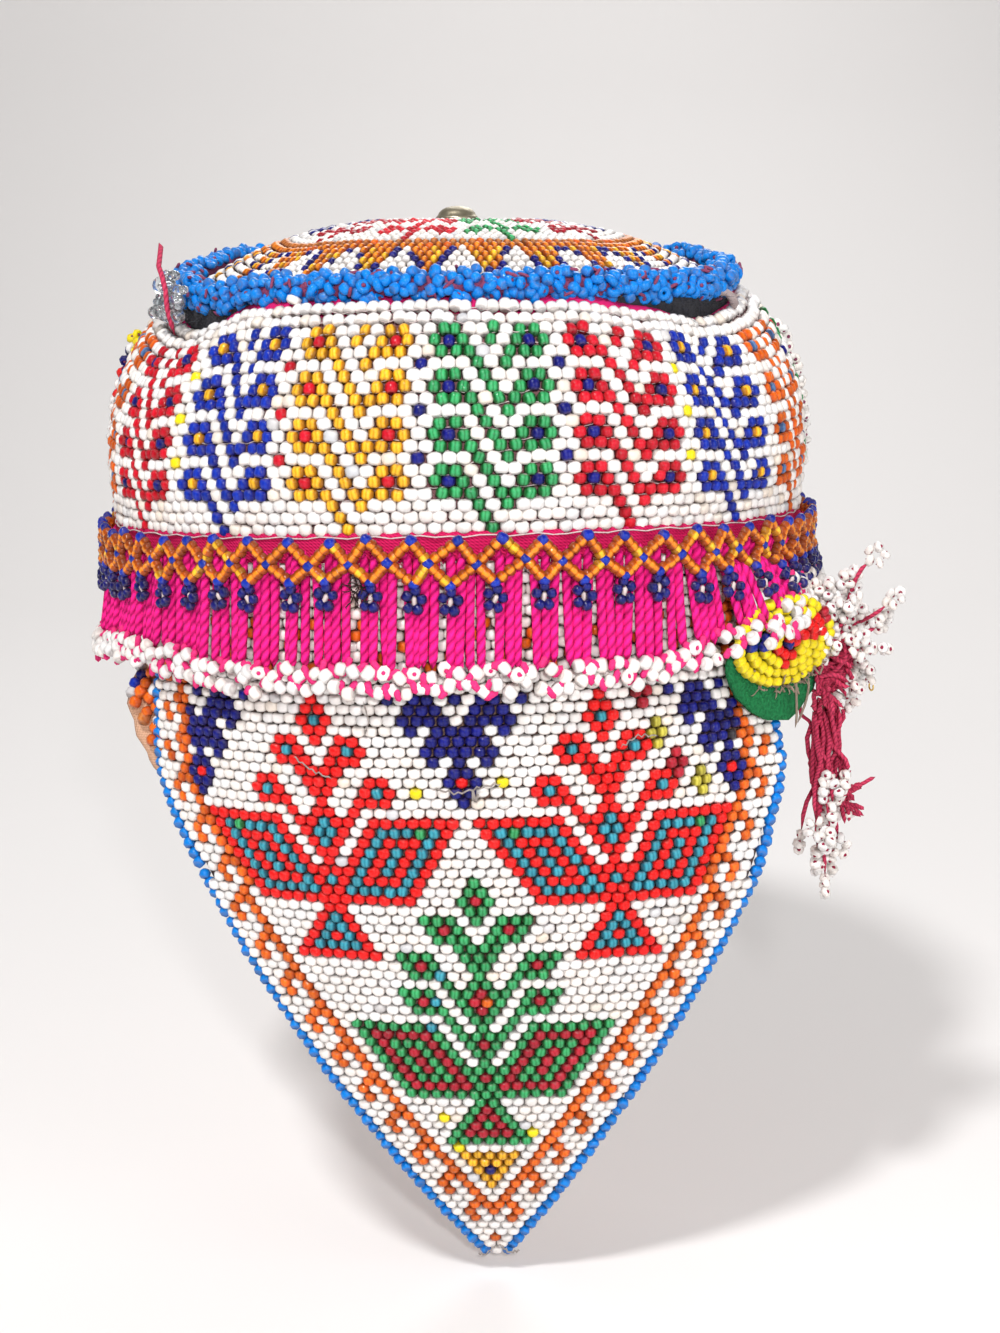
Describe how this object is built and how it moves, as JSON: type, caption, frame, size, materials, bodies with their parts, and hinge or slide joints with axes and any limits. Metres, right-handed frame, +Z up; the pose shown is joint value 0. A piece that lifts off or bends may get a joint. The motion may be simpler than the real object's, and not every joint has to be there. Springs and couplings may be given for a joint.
{
  "type": "beaded hat",
  "caption": "Round beaded hat with a domed crown, a bulging side wall, a pierced net over a pink fringe, and a long pointed back flap.",
  "frame": {"origin": "underside of the crown's apex, where the top of a head meets the inside of the hat", "axes": "+Z up, -Y towards the back flap, +X to the right as the hat is seen from behind"},
  "size_m": [0.1951, 0.1779, 0.2563],
  "materials": {
    "bead_weave": "glossy white seed beads with coloured motifs",
    "old_brass": "dull, worn",
    "azure_beads": "glossy azure seed beads",
    "dark_felt": "matt felt",
    "wall_beads": "glossy white seed beads with coloured tree motifs on pink cloth",
    "pink_cloth": "woven twill",
    "amber_beads": "glossy amber tube beads with navy drops",
    "pink_cord": "twisted wool cords with white bead loops",
    "flap_beads": "glossy white seed beads with coloured motifs",
    "blue_edge": "glossy blue seed beads",
    "peach_lining": "plain woven cotton",
    "green_felt": "matt felt",
    "yellow_beads": "glossy yellow seed beads",
    "crimson_thread": "wool thread",
    "clear_glass": "clear silver-lined beads",
    "white_loops": "white bead loops on crimson thread"
  },
  "bodies": {
    "root": {"crown_top": "bead_weave", "crown_button": "old_brass", "rim_cord": "azure_beads", "rim_felt": "dark_felt", "crown_wall": "wall_beads", "head_band": "pink_cloth", "cord_fringe": "pink_cord", "bead_net": "amber_beads", "back_flap": "flap_beads", "flap_edging": "blue_edge", "lining_edge": "peach_lining", "medallion_felt": "green_felt", "medallion_beads": "yellow_beads", "tassel_upper": "crimson_thread", "tassel_lower": "crimson_thread", "glass_bead_spray": "clear_glass", "side_trim_left": "white_loops", "side_trim_right": "white_loops"}
  },
  "joints": []
}
